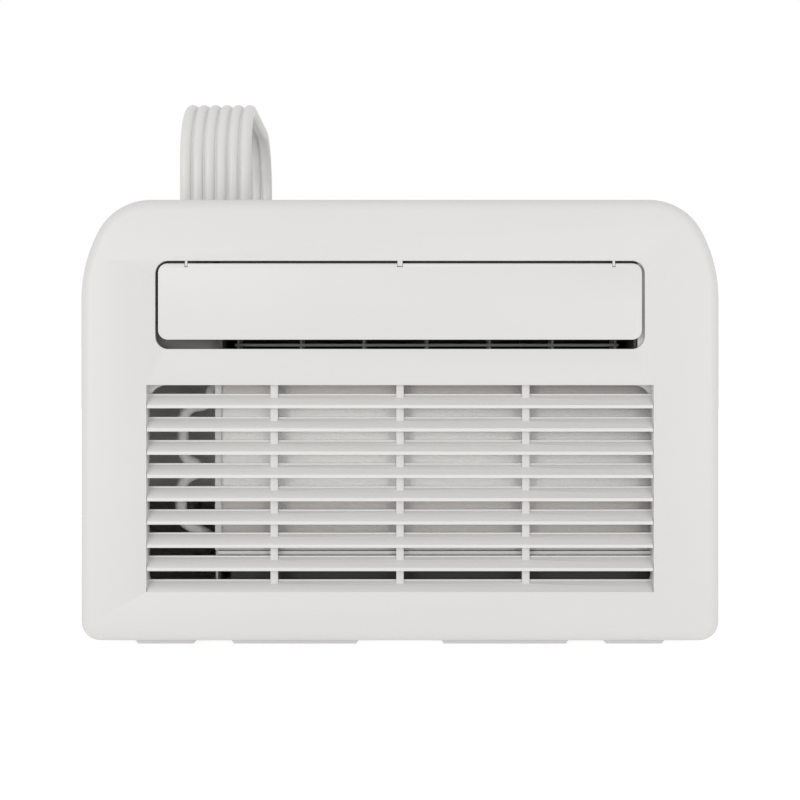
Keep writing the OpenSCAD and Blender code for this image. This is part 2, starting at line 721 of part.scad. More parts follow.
// Rounded slot through a cabinet's top for the line band
module band_slot(y, t) {
    hw = line_n * line_pitch / 2 + t;
    translate([0, 0, top_z - 12]) linear_extrude(30)
        rounded(band_x - hw, y - line_r - t, band_x + hw, y + line_r + t, line_r);
}

module indoor_cabinet() color(plastic) difference() {
    union() {
        outline_ring(shell_y, indoor_d - panel_d - 2 * gap - back_t, 0, wall);
        outline_ring(shell_y, 4, 0, wall + 2);
        outline_ring(shell_y - 2.8, 6, wall + gap, 1.7);
        for (x = [-screw_x, screw_x], z = screw_z) rod_y(x, indoor_back_y - cover_boss - gap - 12, 12, z, 6);
    }
    for (x = [-screw_x, screw_x], z = screw_z) rod_y(x, indoor_back_y - cover_boss - gap - 9, 12, z, 1.5);
    rod_z(gland_x, gland_y, foot_h - 1, 5, 7);
    for (x = button_x) rod_z(x, button_y, top_z - 6, 12, button_r + gap);
    block(-26, 26, button_y - 11, button_y + 11, top_z - 6, top_z + 6);
    band_slot(band_y0, 3);
    // Slot for the filter in the right side, and its passage through the cabinet's front rim
    block(half_w - 9, half_w + 5, front_y + filter_d - gap, front_y + filter_d + filter_t + gap,
        filter_z0 - gap, filter_z1 + gap);
}

module indoor_rear_cover() color(plastic) difference() {
    union() {
        along_y(indoor_back_y - back_t, back_t) outline(0);
        for (x = [-150, -75, 0, 75, 150]) block(x - 1, x + 1, indoor_back_y - back_t - 3,
            indoor_back_y - back_t + 0.5, 20, 165);
        for (x = [-screw_x, screw_x], z = screw_z) rod_y(x, indoor_back_y - cover_boss, 2, z, 5);
    }
    for (x = [-screw_x, screw_x], z = screw_z) {
        rod_y(x, indoor_back_y - 5, 10, z, 1.7);
        rod_y(x, indoor_back_y - 2, 5, z, 3.6);
    }
}

module cord_gland() color(black) difference() {
    union() {
        rod_z(gland_x, gland_y, 1, 26, 6.9);
        rod_z(gland_x, gland_y, 1, foot_h - 1 - gap, 10);
        rod_z(gland_x, gland_y, foot_h + wall + gap, 3, 10);
    }
    rod_z(gland_x, gland_y, -1, 40, 3.6);
}

// Four foot pads under one cabinet, front row and back row
module foot_row(y0, y1) {
    for (y = [y0, y1 - 42], m = [0, 1]) mirror([m, 0, 0]) along_y(y, 42) {
        polygon([[154, foot_h], [156.5, 0], [199, 0], [201.5, foot_h]]);
        polygon([[30.7, foot_h], [33.2, 0], [126.1, 0], [128.6, foot_h]]);
    }
}

module indoor_feet() color(plastic) foot_row(front_y + 17, indoor_back_y - 12);
module outdoor_feet() color(black) foot_row(outdoor_y + 12, back_y - 17);

box_z0 = top_z - 34;

module control_box() color(shade) difference() {
    block(-72, 72, button_y - 27, button_y + 27, box_z0, top_z - wall - gap);
    block(-70, 70, button_y - 25, button_y + 25, box_z0 + 2, top_z);
    block(-20, 20, button_y + 20, button_y + 30, box_z0 + 6, box_z0 + 14);
}

board_z = box_z0 + 12;

module control_board() color([0.16, 0.36, 0.22]) {
    block(-66, 66, button_y - 22, button_y + 22, board_z, board_z + 1.6);
    for (x = button_x) {
        block(x - 3, x + 3, button_y - 3, button_y + 3, board_z + 1.5, board_z + 5);
        rod_z(x, button_y, board_z + 5, 0.6, 1.7);
    }
    block(-20, 20, button_y - 8, button_y + 8, board_z + 1.5, top_z - 6.6);
    for (x = [-60, 50]) block(x, x + 12, button_y + 9, button_y + 19, board_z + 1.5, board_z + 12);
    block(-12, 12, button_y + 12, button_y + 20, board_z + 1.5, board_z + 4);
    for (x = [-62, 62], y = [-18, 18]) rod_z(x, button_y + y, box_z0 + 1.9, board_z - box_z0 - 1.8, 2.5);
}

module display_window() color(black) {
    block(-25.7, 25.7, button_y - 10.7, button_y + 10.7, top_z - 2.4, top_z - 0.2);
    block(-28, 28, button_y - 13, button_y + 13, top_z - wall - gap - 1.2, top_z - wall - gap);
    block(-25.7, 25.7, button_y - 10.7, button_y + 10.7, top_z - wall - 1, top_z - 2);
}

module push_button(k) color(plastic) {
    rod_z(button_x[k], button_y, top_z - 4, 3.8, button_r);
    rod_z(button_x[k], button_y, top_z - wall - gap - 1.6, 1.6, button_r + 1.4);
    rod_z(button_x[k], button_y, board_z + 5.6 + button_travel + gap, top_z - 3.6 - board_z - 6.9, 2);
}

// Pan-head screw along +Y or -Y; the head's underside is at y
module screw_y(x, y, z, dir, length) {
    translate([x, y, z]) rotate([dir > 0 ? -90 : 90, 0, 0]) {
        cylinder(h = length, r = 1.5);
        translate([0, 0, -1.8]) difference() {
            cylinder(h = 1.8, r = 3.2);
            translate([-0.5, -2.2, -1]) cube([1, 4.4, 1.8]);
            translate([-2.2, -0.5, -1]) cube([4.4, 1, 1.8]);
        }
    }
}

module indoor_screws() color(steel) {
    for (x = [-screw_x, screw_x], z = screw_z) screw_y(x, indoor_back_y - 2, z, -1, 9);
    for (x = [-204, 204], z = [56, 182]) screw_y(x, front_y + 11, z, -1, 7.6);
}

// ---------------------------------------------------------------- line band

band_top = top_z + band_rise - line_r;
band_bend = 52;

// Section of the band: lines side by side along the second axis, with a thin web
module band_section() {
    for (k = [0 : line_n - 1]) translate([0, (k - (line_n - 1) / 2) * line_pitch]) circle(line_r);
    translate([-2.6, -(line_n - 1) / 2 * line_pitch]) square([5.2, (line_n - 1) * line_pitch]);
}

// Bore for the band's end in a housing
module band_bore(y, z, length) {
    translate([band_x, y, z]) rotate(90) linear_extrude(length) band_section();
}

module band_corner(y, dir) {
    c = [band_x, y, band_top - band_bend];
    multmatrix([[0, 0, -dir, c.x], [-dir, 0, 0, c.y], [0, 1, 0, c.z], [0, 0, 0, 1]])
        rotate_extrude(angle = 90) translate([band_bend, 0]) band_section();
}

module line_band() color(plastic) {
    for (y = [band_y0, band_y1]) translate([band_x, y, band_end_z]) rotate(90)
        linear_extrude(band_top - band_bend - band_end_z) band_section();
    band_corner(band_y0 + band_bend, 1);
    band_corner(band_y1 - band_bend, -1);
    translate([band_x, band_y0 + band_bend, band_top]) rotate([-90, 0, 0])
        linear_extrude(band_y1 - band_y0 - 2 * band_bend) rotate(90) band_section();
}

module band_collars() color(black) for (y = [band_y0, band_y1]) difference() {
    union() {
        intersection() {
            band_slot(y, 2.9);
            block(-half_w, half_w, -300, 300, top_z - 5, top_z + 6);
        }
        intersection() {
            band_slot(y, 6);
            block(-half_w, half_w, -300, 300, top_z + gap, top_z + 6);
        }
    }
    band_bore(y, top_z - 20, 40);
}

// ---------------------------------------------------------------- outdoor cabinet

fan_x = 50;
fan_z = 172;
guard_r = 132;
rear_y = back_y - 5;              // inner face of the rear panel
outdoor_front_t = 2.5;
drain_x = 190;
drain_y = 205;
drain_r = 6;

module outdoor_cabinet() color(plastic) difference() {
    union() {
        outline_ring(outdoor_y + outdoor_front_t + gap, rear_y - outdoor_y - outdoor_front_t - 2 * gap, 0, wall);
        for (x = [-screw_x, screw_x], z = screw_z, y = [outdoor_y + cover_boss + gap, rear_y - gap - 12])
            rod_y(x, y, 12, z, 6);
    }
    for (x = [-screw_x, screw_x], z = screw_z, y = [outdoor_y, rear_y - 9]) rod_y(x, y, 12, z, 1.5);
    band_slot(band_y1, 3);
    // Air intake louvres in both sides
    for (x = [-half_w - 1, half_w - 5], k = [0 : 9]) block(x, x + 6, outdoor_y + 30, outdoor_y + 150,
        62 + k * 18, 69 + k * 18);
    rod_z(drain_x, drain_y, -5, 20, drain_r + 3.1);
}

module outdoor_front_panel() color(plastic) difference() {
    union() {
        along_y(outdoor_y, outdoor_front_t) outline(0);
        for (x = [-screw_x, screw_x], z = screw_z) rod_y(x, outdoor_y + 2, cover_boss - 2, z, 5);
    }
    for (k = [0 : 12], x = [-120, 40]) along_y(outdoor_y - 1, 5)
        rounded(x, 50 + k * 20, x + 140, 58 + k * 20, 3.9);
    for (x = [-screw_x, screw_x], z = screw_z) {
        rod_y(x, outdoor_y - 1, 10, z, 1.7);
        rod_y(x, outdoor_y - 1, 3, z, 3.6);
    }
}

module outdoor_rear_panel() color(plastic) difference() {
    along_y(rear_y, 2.5) outline(0);
    rod_y(fan_x, rear_y - 1, 5, fan_z, guard_r - 3);
    for (x = [-screw_x, screw_x], z = screw_z) rod_y(x, rear_y - 1, 10, z, 1.7);
    for (k = [0 : 7]) along_y(rear_y - 1, 5) rounded(-205, 60 + k * 16, -120, 67 + k * 16, 3.4);
}

// Stamped fan guard: rings and spokes
module fan_guard() color(steel) along_y(rear_y + 2.5, 2.5) translate([fan_x, fan_z]) {
    for (k = [0 : 9]) difference() {
        circle(guard_r + 2 - 12 * k);
        circle(guard_r + 2 - 12 * k - (k == 0 ? 6 : 2.2));
    }
    circle(14);
    for (k = [0 : 7]) rotate(k * 45) translate([10, -1.6]) square([guard_r - 12, 3.2]);
}

module outdoor_screws() color(steel) {
    for (x = [-screw_x, screw_x], z = screw_z) {
        screw_y(x, outdoor_y + 2, z, 1, 9);
        screw_y(x, rear_y + 2.5, z, -1, 9);
    }
}

// ---------------------------------------------------------------- refrigeration circuit outdoors

comp_x = -182;
comp_y = 205;
comp_r = 41;
comp_z0 = 32;
comp_z1 = 226;
floor_z = foot_h + wall;          // inner face of the cabinet's floor

module compressor() color(black) {
    translate([comp_x, comp_y, 0]) rotate_extrude() intersection() {
        rounded(-comp_r, comp_z0, comp_r, comp_z1, 18);
        translate([0, comp_z0 - 1]) square([comp_r + 1, comp_z1]);
    }
    rod_z(comp_x, comp_y, comp_z1 - 1, 9, 13);
    rod_z(comp_x - 22, comp_y, comp_z1 - 6, 12, 5);
    translate([comp_x, comp_y, comp_z0 + 4]) for (a = [0, 120, 240]) rotate(a) difference() {
        translate([20, -11, 0]) cube([36, 22, 3]);
        translate([48, 0, -1]) cylinder(h = 6, r = 6);
    }
}

module compressor_mounts() color([0.2, 0.2, 0.2]) translate([comp_x, comp_y, 0])
    for (a = [0, 120, 240]) rotate(a) translate([48, 0, floor_z]) {
        cylinder(h = comp_z0 + 4 - gap - floor_z, r = 9);
        cylinder(h = comp_z0 + 12 - floor_z, r = 5.7);
        translate([0, 0, comp_z0 + 7.3 - floor_z]) cylinder(h = 3, r = 9);
    }

acc_x = -118;
acc_y = 222;

module accumulator() color(black) {
    translate([acc_x, acc_y, 0]) rotate_extrude() intersection() {
        rounded(-16, 70, 16, 210, 12);
        translate([0, 60]) square([20, 200]);
    }
    tube_path([[acc_x, acc_y, 71], [acc_x, acc_y, 54], [comp_x + comp_r + 0.5, comp_y + 7, 54]], 4, 8);
    tube_path([[acc_x, acc_y, 209], [acc_x, acc_y, 262], [band_x - 20, 120, 262], [band_x - 20, band_y1, 262],
        [band_x - 20, band_y1, band_end_z - 0.2]], 4, 9);
}

cond_y0 = outdoor_y + 44;
cond_y1 = cond_y0 + 36;
cond_x0 = -90;
cond_x1 = 206;
cond_z0 = 26;
cond_z1 = 314;
cond_rows = 12;
cond_tube_r = 3.6;

module condenser_fins() color(steel) fin_pack(cond_x0, cond_x1, cond_y0, cond_y1, cond_z0, cond_z1, 40,
    cond_rows, cond_tube_r, 0.8);

module condenser_tubes() color(copper) serpentine(cond_x0 - 3, cond_x1 + 3, (cond_y0 + cond_y1) / 2, cond_z0,
    cond_z1, cond_rows, cond_tube_r);

module discharge_pipe() color(copper) {
    z = coil_row_z(cond_rows - 1, cond_z0, cond_z1, cond_rows);
    y = (cond_y0 + cond_y1) / 2;
    tube_path([[comp_x, comp_y, comp_z1 + 8], [comp_x, comp_y, 318], [comp_x + 40, comp_y - 20, 318],
        [-104, y, 318], [-104, y, z], [cond_x0 - 3, y, z]], cond_tube_r, 5, 3.6, 0.7);
}

module capillary_tube() color(copper) {
    z = coil_row_z(0, cond_z0, cond_z1, cond_rows);
    y = (cond_y0 + cond_y1) / 2;
    tube_path([[cond_x0 - 3, y, z], [-119, y, z], [-119, y, 120]], cond_tube_r, 6);
    translate([-119, y, 0]) rotate_extrude() intersection() {
        rounded(-9, 116, 9, 190, 7);
        translate([0, 100]) square([20, 100]);
    }
    tube_path([[-119, y, 189], [-119, y, 230], [band_x + 18, band_y1, 248],
        [band_x + 18, band_y1, band_end_z - 0.2]], 2, 6);
}

// ---------------------------------------------------------------- condenser fan

shroud_y = 236;
fan_y0 = 244;
motor_y1 = 216;
fan_shaft_r = 4;

module fan_shroud() color(black) {
    difference() {
        along_y(shroud_y, 2.5) translate([-86, floor_z + gap]) square([311, 318]);
        rod_y(fan_x, shroud_y - 1, 5, fan_z, fan_r + 4);
        along_y(shroud_y - 1, 5) difference() {
            translate([160, 200]) square([100, 140]);
            outline(wall + 1);
        }
    }
    difference() {
        rod_y(fan_x, shroud_y, 44, fan_z, fan_r + 6.5);
        rod_y(fan_x, shroud_y - 1, 50, fan_z, fan_r + 4);
    }
}

module condenser_fan() color(black) translate([fan_x, fan_y0, fan_z]) rotate([-90, 0, 0]) {
    difference() {
        cylinder(h = 34, r = 30);
        translate([0, 0, 2.5]) cylinder(h = 40, r = 27);
    }
    cylinder(h = 16, r = 8);
    translate([0, 0, -34]) cylinder(h = 36, r = fan_shaft_r);
    for (k = [0 : fan_blades - 1]) rotate(k * 360 / fan_blades) intersection() {
        difference() {
            cylinder(h = 36, r = fan_r);
            translate([0, 0, -1]) cylinder(h = 40, r = 29);
        }
        translate([0, 0, 17]) rotate([24, 0, 0]) translate([20, -39, -1.1]) cube([fan_r, 78, 2.2]);
    }
}

module fan_motor() color(steel) difference() {
    union() {
        rod_y(fan_x, motor_y1 - 50, 50, fan_z, 38);
        rod_y(fan_x, motor_y1 - 1, 6, fan_z, 14);
    }
    rod_y(fan_x, motor_y1 - 10, 30, fan_z, fan_shaft_r + run);
}

module motor_bracket() color(steel) {
    y = motor_y1 - 30;
    difference() {
        union() {
            for (x = [-52, 44]) block(fan_x + x, fan_x + x + 8, y - 8, y + 8, floor_z + gap, 330);
            rod_y(fan_x, y - 8, 16, fan_z, 41);
            for (z = [-24, 16]) block(fan_x - 52, fan_x + 52, y - 8, y + 8, fan_z + z, fan_z + z + 8);
            for (z = [floor_z + gap, 327]) block(fan_x - 52, fan_x + 52, y - 12, y + 12, z, z + 3);
        }
        rod_y(fan_x, y - 20, 40, fan_z, 38);
    }
}

module run_capacitor() color(steel) {
    rod_z(-112, 262, 236, 70, 16);
    rod_z(-112, 262, 305, 3, 13);
    for (x = [-117, -107]) block(x - 0.4, x + 0.4, 259, 265, 307, 315);
    difference() {
        block(-132, -92, rear_y - gap - 3, rear_y - gap, 250, 292);
        rod_z(-112, 262, 240, 60, 16);
    }
    difference() {
        rod_z(-112, 262, 264, 12, 18.5);
        rod_z(-112, 262, 260, 20, 16);
    }
    block(-113, -111, 279, rear_y - gap, 264, 276);
}

module drain_outlet() color(black) difference() {
    union() {
        rod_z(drain_x, drain_y, 0.5, 9, drain_r + 2.8);
        rod_z(drain_x, drain_y, floor_z + gap, 2, drain_r + 6);
    }
    rod_z(drain_x, drain_y, -1, 20, drain_r);
}

// ---------------------------------------------------------------- assembly

front_panel();
intake_grille();
outlet_flap();
flap_pinion();
flap_motor();
vane(0);  // vane_1
vane(1);  // vane_2
vane(2);  // vane_3
vane(3);  // vane_4
vane(4);  // vane_5
vane(5);  // vane_6
vane(6);  // vane_7
vane_link_bar();
vane_motor();
outlet_duct();
blower_wheel();
blower_motor();
blower_bearing();
evaporator_fins();
evaporator_tubes();
drip_tray();
pipe_bay_wall();
filter_frame();
filter_mesh();
junction_box();
control_box();
control_board();
indoor_cabinet();
indoor_rear_cover();
indoor_feet();
display_window();
push_button(0);  // power_button
push_button(1);  // mode_button
push_button(2);  // cooler_button
push_button(3);  // warmer_button
cord_gland();
indoor_screws();
line_band();
band_collars();
suction_line();
liquid_line();
outdoor_cabinet();
outdoor_front_panel();
outdoor_rear_panel();
fan_guard();
outdoor_feet();
compressor();
compressor_mounts();
accumulator();
discharge_pipe();
capillary_tube();
condenser_fins();
condenser_tubes();
fan_shroud();
condenser_fan();
fan_motor();
motor_bracket();
run_capacitor();
drain_outlet();
outdoor_screws();
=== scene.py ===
"""Saddle split window air conditioner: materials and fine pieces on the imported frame.

Metres, +Z up, the room side is -Y.
"""
import json
import math

import bpy
from mathutils import Matrix, Vector


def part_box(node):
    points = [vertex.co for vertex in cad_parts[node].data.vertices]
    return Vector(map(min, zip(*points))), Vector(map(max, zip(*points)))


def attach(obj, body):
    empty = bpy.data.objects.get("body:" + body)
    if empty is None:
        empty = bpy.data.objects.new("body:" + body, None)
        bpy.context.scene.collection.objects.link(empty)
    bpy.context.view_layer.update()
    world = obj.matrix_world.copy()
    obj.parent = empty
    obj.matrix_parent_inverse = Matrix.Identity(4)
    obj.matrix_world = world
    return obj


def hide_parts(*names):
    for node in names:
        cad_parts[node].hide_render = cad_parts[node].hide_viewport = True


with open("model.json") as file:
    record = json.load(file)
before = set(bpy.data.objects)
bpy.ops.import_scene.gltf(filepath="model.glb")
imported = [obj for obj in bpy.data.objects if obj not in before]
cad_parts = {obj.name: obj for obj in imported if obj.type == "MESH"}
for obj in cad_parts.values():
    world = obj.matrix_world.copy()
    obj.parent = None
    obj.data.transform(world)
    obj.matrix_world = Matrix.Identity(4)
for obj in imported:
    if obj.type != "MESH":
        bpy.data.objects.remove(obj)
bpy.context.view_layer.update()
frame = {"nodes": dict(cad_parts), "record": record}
NODES = frame["nodes"]
ROOT = "cabinets"
MM = 0.001
IOR = 1.5                # of every plastic, paint and rubber here
GRAIN_SCALE = 1800.0     # spark-eroded grain of moulded plastic


# ---------------------------------------------------------------- materials

def shader(name, color, rough, metal=0.0, coat=0.0, sheen=0.0):
    """A material with its Principled shader, and a helper that adds and links nodes."""
    mat = bpy.data.materials.new(name)
    mat.use_nodes = True
    tree = mat.node_tree
    bsdf = tree.nodes["Principled BSDF"]
    bsdf.inputs["Base Color"].default_value = (*color, 1)
    bsdf.inputs["Roughness"].default_value = rough
    bsdf.inputs["Metallic"].default_value = metal
    bsdf.inputs["Coat Weight"].default_value = coat
    bsdf.inputs["Sheen Weight"].default_value = sheen
    bsdf.inputs["IOR"].default_value = IOR
    mat.diffuse_color = (*color, 1)

    def add(kind, links=(), **values):
        node = tree.nodes.new(kind)
        for key, value in values.items():
            if hasattr(node, key):
                setattr(node, key, value)
            else:
                node.inputs[key.replace("_", " ")].default_value = value
        for socket, source in dict(links).items():
            tree.links.new(source, node.inputs[socket])
        return node

    coords = add("ShaderNodeTexCoord").outputs["Object"]
    return mat, tree, bsdf, add, coords


def mixed(add, factor, a, b):
    """Colour between a and b by a factor socket."""
    ramp = add("ShaderNodeValToRGB", {"Fac": factor})
    ramp.color_ramp.elements[0].color = (*a, 1)
    ramp.color_ramp.elements[1].color = (*b, 1)
    ramp.color_ramp.elements[0].position = 0.3
    ramp.color_ramp.elements[1].position = 0.7
    return ramp.outputs["Color"]


def ranged(add, factor, low, high):
    return add("ShaderNodeMapRange", {"Value": factor}, To_Min=low, To_Max=high).outputs["Result"]


def bumped(add, tree, bsdf, heights):
    """Chains bumps of (height socket, strength, distance) into the shader's normal."""
    last = None
    for height, strength, distance in heights:
        bump = add("ShaderNodeBump", {"Height": height}, Strength=strength, Distance=distance)
        if last:
            tree.links.new(last, bump.inputs["Normal"])
        last = bump.outputs["Normal"]
    tree.links.new(last, bsdf.inputs["Normal"])


def worn(add, color, edge, factor=0.5):
    """Lightens or darkens edges a little with the surface's pointiness."""
    geo = add("ShaderNodeNewGeometry").outputs["Pointiness"]
    near = add("ShaderNodeMapRange", {"Value": geo}, From_Min=0.52, From_Max=0.60, To_Min=0.0, To_Max=factor)
    mix = add("ShaderNodeMix", data_type="RGBA")
    tree = mix.id_data
    tree.links.new(near.outputs["Result"], mix.inputs["Factor"])
    tree.links.new(color, mix.inputs["A"])
    mix.inputs["B"].default_value = (*edge, 1)
    return mix.outputs["Result"]


def plastic(name, color, rough=0.42, grain=0.5, coat=0.0):
    """Moulded plastic: fine spark-eroded grain, faint flow marks and a slightly uneven gloss."""
    mat, tree, bsdf, add, coords = shader(name, color, rough, coat=coat)
    flow = add("ShaderNodeTexNoise", {"Vector": coords}, Scale=9.0, Detail=3.0, Roughness=0.6).outputs["Fac"]
    pores = add("ShaderNodeTexNoise", {"Vector": coords}, Scale=GRAIN_SCALE, Detail=2.0).outputs["Fac"]
    waves = add("ShaderNodeTexNoise", {"Vector": coords}, Scale=28.0, Detail=2.0).outputs["Fac"]
    base = mixed(add, flow, tuple(c * 0.985 for c in color), color)
    tree.links.new(worn(add, base, tuple(min(1, c * 1.05) for c in color), 0.4), bsdf.inputs["Base Color"])
    tree.links.new(ranged(add, flow, rough - 0.04, rough + 0.05), bsdf.inputs["Roughness"])
    bumped(add, tree, bsdf, [(pores, 0.16 * grain, 0.00012), (waves, 0.04, 0.0006)])
    return mat


def metal(name, color, rough=0.35, brushed="X", dirt=0.85, strength=0.25):
    """Drawn or rolled metal: fine lines along one axis and dull patches."""
    mat, tree, bsdf, add, coords = shader(name, color, rough, metal=1.0)
    squeeze = {"X": (6, 900, 900), "Y": (900, 6, 900), "Z": (900, 900, 6)}[brushed]
    mapped = add("ShaderNodeMapping", {"Vector": coords}, Scale=squeeze).outputs["Vector"]
    lines = add("ShaderNodeTexNoise", {"Vector": mapped}, Scale=1.0, Detail=4.0).outputs["Fac"]
    patches = add("ShaderNodeTexNoise", {"Vector": coords}, Scale=22.0, Detail=5.0,
                  Roughness=0.65).outputs["Fac"]
    tree.links.new(mixed(add, patches, tuple(c * dirt for c in color), color), bsdf.inputs["Base Color"])
    tree.links.new(ranged(add, patches, rough + 0.12, rough - 0.06), bsdf.inputs["Roughness"])
    bumped(add, tree, bsdf, [(lines, strength, 0.0001)])
    return mat


def painted(name, color, rough=0.4, peel=0.35):
    """Powder coat: orange peel, dust in patches and paler edges."""
    mat, tree, bsdf, add, coords = shader(name, color, rough, coat=0.15)
    peel_a = add("ShaderNodeTexVoronoi", {"Vector": coords}, Scale=620.0,
                 feature="SMOOTH_F1").outputs["Distance"]
    peel_b = add("ShaderNodeTexNoise", {"Vector": coords}, Scale=300.0, Detail=2.0).outputs["Fac"]
    dust = add("ShaderNodeTexNoise", {"Vector": coords}, Scale=14.0, Detail=6.0, Roughness=0.7).outputs["Fac"]
    base = mixed(add, dust, tuple(c * 0.95 for c in color), color)
    tree.links.new(worn(add, base, tuple(min(1, c * 1.08 + 0.01) for c in color)), bsdf.inputs["Base Color"])
    tree.links.new(ranged(add, dust, rough - 0.05, rough + 0.1), bsdf.inputs["Roughness"])
    bumped(add, tree, bsdf, [(peel_a, 0.10 * peel, 0.0004), (peel_b, 0.2 * peel, 0.0002)])
    return mat


def rubber(name, color, rough=0.72, bloom=0.06):
    """Moulded rubber: matt, with a pale bloom in patches."""
    mat, tree, bsdf, add, coords = shader(name, color, rough, sheen=0.15)
    bloom_at = add("ShaderNodeTexNoise", {"Vector": coords}, Scale=60.0, Detail=6.0,
                   Roughness=0.7).outputs["Fac"]
    pores = add("ShaderNodeTexVoronoi", {"Vector": coords}, Scale=1500.0).outputs["Distance"]
    tree.links.new(mixed(add, bloom_at, color, tuple(c + bloom for c in color)), bsdf.inputs["Base Color"])
    bumped(add, tree, bsdf, [(pores, 0.3, 0.0001)])
    return mat


def net(name, color, painted_shade, field=(0.1185, 0.1825), pitch=0.0011):
    """Filter net of crossed threads: pale in its middle field, with painted shade in the fields above and below."""
    mat, tree, bsdf, add, coords = shader(name, color, 0.6, sheen=0.1)
    scale = math.pi / 10 / pitch   # a wave texture repeats every pi / (10 * scale)
    across = add("ShaderNodeTexWave", {"Vector": coords}, Scale=scale, bands_direction="X").outputs["Fac"]
    upright = add("ShaderNodeTexWave", {"Vector": coords}, Scale=scale, bands_direction="Z").outputs["Fac"]
    both = add("ShaderNodeMath", {0: across, 1: upright}, operation="MAXIMUM").outputs["Value"]
    # Painted shade: the fields above and below the middle field take the second, darker colour.
    height = add("ShaderNodeSeparateXYZ", {"Vector": coords}).outputs["Z"]
    mid = add("ShaderNodeMath", {0: height}, operation="SUBTRACT")
    mid.inputs[1].default_value = sum(field) / 2
    off = add("ShaderNodeMath", {0: mid.outputs["Value"]}, operation="ABSOLUTE").outputs["Value"]
    outer = add("ShaderNodeMapRange", {"Value": off}, From_Min=(field[1] - field[0]) / 2,
                From_Max=(field[1] - field[0]) / 2 + 0.0015).outputs["Result"]
    mix = add("ShaderNodeMix", {"Factor": outer}, data_type="RGBA")
    mix.inputs["A"].default_value = (*color, 1)
    mix.inputs["B"].default_value = (*painted_shade, 1)
    # The gaps between threads are tinted with a darker copy of the painted shade colour.
    pores = add("ShaderNodeMix", {"Factor": ranged(add, both, 0.8, 1.0), "B": mix.outputs["Result"]},
                data_type="RGBA")
    pores.inputs["A"].default_value = (*[c * 0.85 for c in painted_shade], 1)
    tree.links.new(pores.outputs["Result"], bsdf.inputs["Base Color"])
    bumped(add, tree, bsdf, [(both, 0.5, 0.0002)])
    return mat


def duct_plastic(name, color, cheek, span=(-0.184, -0.1362)):
    """Dark duct plastic; the cheek outside its left wall carries painted shade, fading from the first shade colour to
    the second.
    """
    mat, tree, bsdf, add, coords = shader(name, color, 0.6)
    # Painted shade on the cheek: darker at its left end, paler towards the duct's left wall.
    x = add("ShaderNodeSeparateXYZ", {"Vector": coords}).outputs["X"]
    along = add("ShaderNodeMapRange", {"Value": x}, From_Min=span[0], From_Max=span[1]).outputs["Result"]
    fade = add("ShaderNodeMix", {"Factor": along}, data_type="RGBA")
    fade.inputs["A"].default_value = (*cheek[0], 1)
    fade.inputs["B"].default_value = (*cheek[1], 1)
    inside = add("ShaderNodeMath", {0: x}, operation="GREATER_THAN")
    inside.inputs[1].default_value = span[1]
    both = add("ShaderNodeMix", {"Factor": inside.outputs["Value"], "A": fade.outputs["Result"]},
               data_type="RGBA")
    both.inputs["B"].default_value = (*color, 1)
    pores = add("ShaderNodeTexNoise", {"Vector": coords}, Scale=GRAIN_SCALE, Detail=2.0).outputs["Fac"]
    flow = add("ShaderNodeTexNoise", {"Vector": coords}, Scale=9.0, Detail=3.0, Roughness=0.6).outputs["Fac"]
    tree.links.new(both.outputs["Result"], bsdf.inputs["Base Color"])
    tree.links.new(ranged(add, flow, 0.55, 0.66), bsdf.inputs["Roughness"])
    bumped(add, tree, bsdf, [(pores, 0.08, 0.00012)])
    return mat


def foam(name, color):
    """Foamed lagging with a closed skin: soft dents and fine cells."""
    mat, tree, bsdf, add, coords = shader(name, color, 0.62, sheen=0.2)
    dents = add("ShaderNodeTexNoise", {"Vector": coords}, Scale=70.0, Detail=2.0).outputs["Fac"]
    cells = add("ShaderNodeTexVoronoi", {"Vector": coords}, Scale=900.0).outputs["Distance"]
    tree.links.new(mixed(add, dents, tuple(c * 0.93 for c in color), color), bsdf.inputs["Base Color"])
    bumped(add, tree, bsdf, [(dents, 0.35, 0.0012), (cells, 0.2, 0.0001)])
    return mat


def board(name, color):
    """Printed board: solder mask over faint copper tracks."""
    mat, tree, bsdf, add, coords = shader(name, color, 0.3, coat=0.3)
    tracks = add("ShaderNodeTexBrick", {"Vector": coords}, Scale=240.0, Mortar_Size=0.03)
    tracks.inputs["Color1"].default_value = (*color, 1)
    tracks.inputs["Color2"].default_value = (*[c * 0.8 for c in color], 1)
    tracks.inputs["Mortar"].default_value = (*[c * 1.8 for c in color], 1)
    tree.links.new(tracks.outputs["Color"], bsdf.inputs["Base Color"])
    bumped(add, tree, bsdf, [(tracks.outputs["Fac"], 0.2, 0.0001)])
    return mat


def smoked(name, color):
    """Smoked window: glossy, with fine wipe marks in the gloss."""
    mat, tree, bsdf, add, coords = shader(name, color, 0.08, coat=0.6)
    marks = add("ShaderNodeTexNoise", {"Vector": coords}, Scale=90.0, Detail=6.0, Distortion=1.5).outputs["Fac"]
    tree.links.new(mixed(add, marks, color, tuple(c * 1.3 for c in color)), bsdf.inputs["Base Color"])
    tree.links.new(ranged(add, marks, 0.05, 0.16), bsdf.inputs["Roughness"])
    bumped(add, tree, bsdf, [(marks, 0.02, 0.0002)])
    return mat


